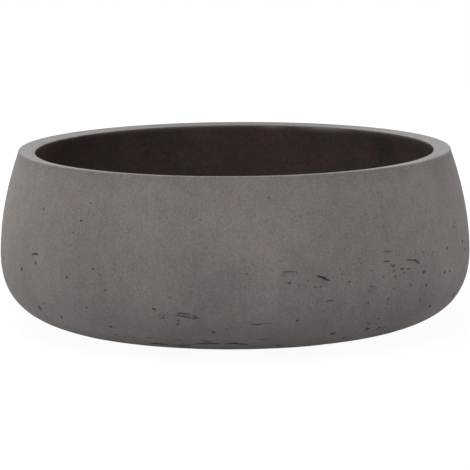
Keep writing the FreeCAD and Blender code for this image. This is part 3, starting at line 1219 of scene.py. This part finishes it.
floor_paint = bpy.data.materials.new("white_floor")
floor_paint.use_nodes = True
tree = floor_paint.node_tree
tree.nodes.clear()
where = add(tree, "ShaderNodeTexCoord").outputs["Object"]
from_axis = add(tree, "ShaderNodeVectorMath", {0: where}, operation="LENGTH").outputs["Value"]
reflected = add(tree, "ShaderNodeBsdfDiffuse", {"Color": ramp(tree, from_axis, *BOUNCE_RING_WITH_PAINTED_SHADE)})
sent_up = add(tree, "ShaderNodeEmission", {"Strength": SENT_UP})
bounce = add(tree, "ShaderNodeAddShader", {0: reflected.outputs[0], 1: sent_up.outputs[0]})
shadow = add(tree, "ShaderNodeBsdfDiffuse", {"Color": (SHADOW_GREY, SHADOW_GREY, SHADOW_GREY, 1)})
glow_level = times(tree, ramp(tree, from_axis, *GLOW_RING), ramp(tree, from_axis, *BASE_PAINTED_SHADOW_RING))
glow = add(tree, "ShaderNodeEmission", {"Strength": glow_level})
white = add(tree, "ShaderNodeAddShader", {0: shadow.outputs[0], 1: glow.outputs[0]})
sockets = {0: seen_share(tree), 1: bounce.outputs[0], 2: white.outputs[0]}
chooser = add(tree, "ShaderNodeMixShader", sockets)
add(tree, "ShaderNodeOutputMaterial", {"Surface": chooser.outputs[0]})
floor.data.materials.append(floor_paint)
print("floor paint:", len(tree.nodes), "nodes")

# %% [markdown]
# The picture's light is soft and comes from above and both sides, a little more from the left. The world is
# white to look at but sends no light, so all of it comes from round area lamps, like softboxes in a studio,
# weak enough that the cement renders about as its colour is written.

# %% World
scene = bpy.context.scene
world = bpy.data.worlds.new("studio")
scene.world = world
world.use_nodes = True
sky = world.node_tree
background = sky.nodes["Background"]
background.inputs["Color"].default_value = (1, 1, 1, 1)
sky.links.new(seen_share(sky), background.inputs["Strength"])
print("the world is white to look at and sends no light")

# %% Lamps
LAMP_DISTANCE = 1.7
LAMP_AIM = Vector((0, 0, 80 * MM))
WHITE = (1, 1, 1)
PALE_GREEN = (0.72, 1, 0.96)
# Lamps: name, angle round from the front and above the floor in degrees, width in metres, watts and colour.
LAMPS = [
    ("front_top_light", 0, 60, 1.2, 14.4, WHITE),
    ("back_top_light", -150, 60, 1.2, 10.6, WHITE),
    ("back_light", 170, 22, 1.0, 6.4, WHITE),
    ("left_top_light", -90, 55, 1.0, 4.5, WHITE),
    ("left_light", -58, 20, 1.0, 8.4, WHITE),
    ("left_edge_light", -105, 15, 0.8, 2.0, PALE_GREEN),
    ("right_light", 50, 20, 1.0, 6.4, WHITE),
]
for name, azimuth, elevation, width, power, colour in LAMPS:
    angle = math.radians(azimuth)
    rise = math.radians(elevation)
    level = Vector((math.sin(angle), -math.cos(angle), 0)) * math.cos(rise)
    place = LAMP_AIM + (level + Vector((0, 0, math.sin(rise)))) * LAMP_DISTANCE
    start_fresh()
    bpy.ops.object.light_add(type="AREA", location=place)
    lamp = bpy.context.object
    lamp.name = name
    lamp.data.shape = "DISK"
    lamp.data.size = width
    lamp.data.energy = power
    lamp.data.color = colour
    lamp.rotation_euler = (LAMP_AIM - place).to_track_quat("-Z", "Y").to_euler()
print(len(LAMPS), "lamps")

# %% [markdown]
# The camera stands where the picture was taken: far off, above the rim, with a long lens and rolled by a
# fraction of a degree. It could be moved by eye, but its distance, height and tilt were worked out from the
# outline of rim, belly and base, so the bowl's curves agree as well as its place.

# %% Camera
CAMERA_DISTANCE = 2.4
CAMERA_ABOVE_RIM = 305 * MM
AIM_Z = BASE_Z + 76 * MM
FRAME_PIXELS = 470
FOCAL_PIXELS = 2776
CENTRE_DROP_PIXELS = 2.0
ROLL = math.radians(0.39)
SENSOR = 36
camera_z = RIM_Z + CAMERA_ABOVE_RIM
pitch = math.atan2(camera_z - AIM_Z, CAMERA_DISTANCE) + math.atan2(CENTRE_DROP_PIXELS, FOCAL_PIXELS)
start_fresh()
bpy.ops.object.camera_add(location=(0, -CAMERA_DISTANCE, camera_z))
camera = bpy.context.object
camera.name = "picture_camera"
camera.data.sensor_width = SENSOR
camera.data.lens = SENSOR * FOCAL_PIXELS / FRAME_PIXELS
stand = Matrix.Translation((0, -CAMERA_DISTANCE, camera_z))
camera.matrix_world = stand @ Matrix.Rotation(math.pi / 2 - pitch, 4, "X") @ Matrix.Rotation(-ROLL, 4, "Z")
scene.camera = camera
scene.view_settings.view_transform = "Standard"
print(f"camera looks down by {math.degrees(pitch):.1f} degrees through a {camera.data.lens:.0f} mm lens")
